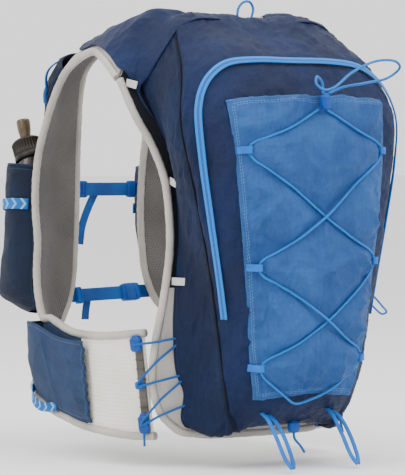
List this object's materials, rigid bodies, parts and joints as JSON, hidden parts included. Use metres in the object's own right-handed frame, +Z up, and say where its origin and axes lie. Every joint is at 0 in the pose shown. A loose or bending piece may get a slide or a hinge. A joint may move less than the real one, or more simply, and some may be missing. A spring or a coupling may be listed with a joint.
{
  "type": "running hydration vest",
  "caption": "Running vest with a padded back pack, open harness fronts, stash pocket with bungee, chest and bottle pockets, soft flask, sternum straps and side lacing.",
  "frame": {"origin": "on the mid-plane between the shoulders, at the height where the inside of the straps rests on them", "axes": "+Z up, the wearer faces -Y, the pack is at +Y and the wearer's left is +X"},
  "size_m": [0.2942, 0.4502, 0.4803],
  "materials": {
    "navy_ripstop": "matte",
    "steel_blue_stretch": "matte",
    "pale_padded_mesh": "matte",
    "pale_binding": "matte",
    "off_white_stretch": "matte",
    "dark_grey_webbing": "matte",
    "blue_cord": "matte",
    "blue_webbing": "matte",
    "blue_zipper": "satin",
    "blue_plastic": "satin",
    "flask_film": "gloss",
    "flask_plastic": "satin",
    "valve_rubber": "satin"
  },
  "bodies": {
    "root": {"back_panel": "pale_padded_mesh", "back_panel_binding": "pale_binding", "pack_body": "navy_ripstop", "stash_pocket": "steel_blue_stretch", "main_zipper": "blue_zipper", "bungee_loop_1_left": "blue_webbing", "bungee_loop_2_left": "blue_webbing", "bungee_loop_3_left": "blue_webbing", "bungee_loop_1_right": "blue_webbing", "bungee_loop_2_right": "blue_webbing", "bungee_loop_3_right": "blue_webbing", "stash_bungee": "blue_cord", "bungee_lock": "blue_plastic", "bungee_spare_loops": "blue_cord", "hang_loop": "blue_cord", "zipper_pull_cord": "blue_cord", "harness_left": "pale_padded_mesh", "side_wing_left": "off_white_stretch", "armhole_binding_left": "pale_binding", "yoke_left": "navy_ripstop", "chest_pocket_left": "navy_ripstop", "lower_pocket_left": "steel_blue_stretch", "bottle_pocket_left": "navy_ripstop", "chest_pull_tab_left": "blue_webbing", "bottle_strap_left": "blue_webbing", "lace_strip_left": "dark_grey_webbing", "side_lace_left": "blue_cord", "side_lock_top_left": "blue_plastic", "side_hook_left": "blue_plastic", "side_lock_bottom_left": "blue_plastic", "harness_right": "pale_padded_mesh", "side_wing_right": "off_white_stretch", "armhole_binding_right": "pale_binding", "yoke_right": "navy_ripstop", "chest_pocket_right": "navy_ripstop", "lower_pocket_right": "steel_blue_stretch", "bottle_pocket_right": "navy_ripstop", "chest_pull_tab_right": "blue_webbing", "bottle_strap_right": "blue_webbing", "lace_strip_right": "dark_grey_webbing", "side_lace_right": "blue_cord", "side_lock_top_right": "blue_plastic", "side_hook_right": "blue_plastic", "side_lock_bottom_right": "blue_plastic", "front_binding": "pale_binding", "flask_body": "flask_film", "flask_cap": "flask_plastic", "flask_valve": "valve_rubber", "upper_sternum_strap": "blue_webbing", "upper_sternum_tail": "blue_webbing", "lower_sternum_strap": "blue_webbing", "lower_sternum_tail": "blue_webbing", "upper_sternum_adjuster": "blue_plastic", "upper_sternum_slider": "blue_plastic", "lower_sternum_slider": "blue_plastic", "lower_sternum_buckle": "blue_plastic", "bottom_cord_lock": "blue_plastic", "pole_loop_left": "blue_webbing", "pole_loop_right": "blue_webbing"}
  },
  "joints": []
}
